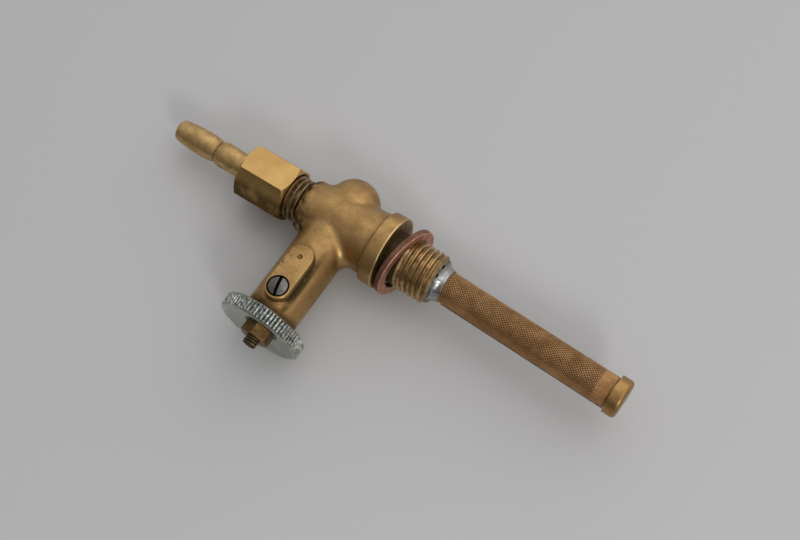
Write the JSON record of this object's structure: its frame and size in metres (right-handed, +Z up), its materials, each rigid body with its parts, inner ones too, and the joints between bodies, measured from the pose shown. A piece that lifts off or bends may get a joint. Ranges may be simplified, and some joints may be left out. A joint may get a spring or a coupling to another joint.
{
  "type": "fuel tap",
  "caption": "Brass push-pull fuel tap with a soldered gauze filter on a threaded inlet, a knurled pull knob on a cork plunger, and a union nut with a bulged hose tail.",
  "frame": {"origin": "centre of the flange face that seals against the tank", "axes": "+Z up the inlet and the filter into the tank, +X the way the knob is pulled, -Y the side of the guide screw"},
  "size_m": [0.0525, 0.0228, 0.1361],
  "materials": {
    "cast_brass": "sand-cast, tarnished",
    "turned_brass": "turned, polished by use",
    "tarnished_brass": "turned, brown tarnish",
    "gauze": "woven wire",
    "copper": "matte, oxidised copper",
    "solder": "shiny soft solder",
    "dark_steel": "dark, worn",
    "aged_steel": "browned with age",
    "zinc_plate": "bluish zinc plate",
    "cork": "cork"
  },
  "bodies": {
    "tap_body": {"body_casting": "cast_brass", "guide_screw": "dark_steel", "sealing_washer": "copper", "filter_gauze": "gauze", "filter_cap": "turned_brass", "filter_solder": "solder", "union_nut": "turned_brass", "hose_tail": "tarnished_brass"},
    "plunger": {"plunger_sleeve": "turned_brass", "cork_seal": "cork", "cork_inner_washer": "turned_brass", "cork_outer_washer": "turned_brass"},
    "knob": {"pull_knob": "zinc_plate", "plunger_rod": "aged_steel", "rod_nut": "aged_steel"}
  },
  "joints": [
    {"name": "plunger_pull", "type": "slide", "parent": "tap_body", "child": "plunger", "axis": [1, 0, 0], "range_m": [0, 0.01]},
    {"name": "knob_turn", "type": "hinge", "parent": "plunger", "child": "knob", "pos_m": [0.0335, 0, -0.01615], "axis": [1, 0, 0], "continuous": true}
  ]
}
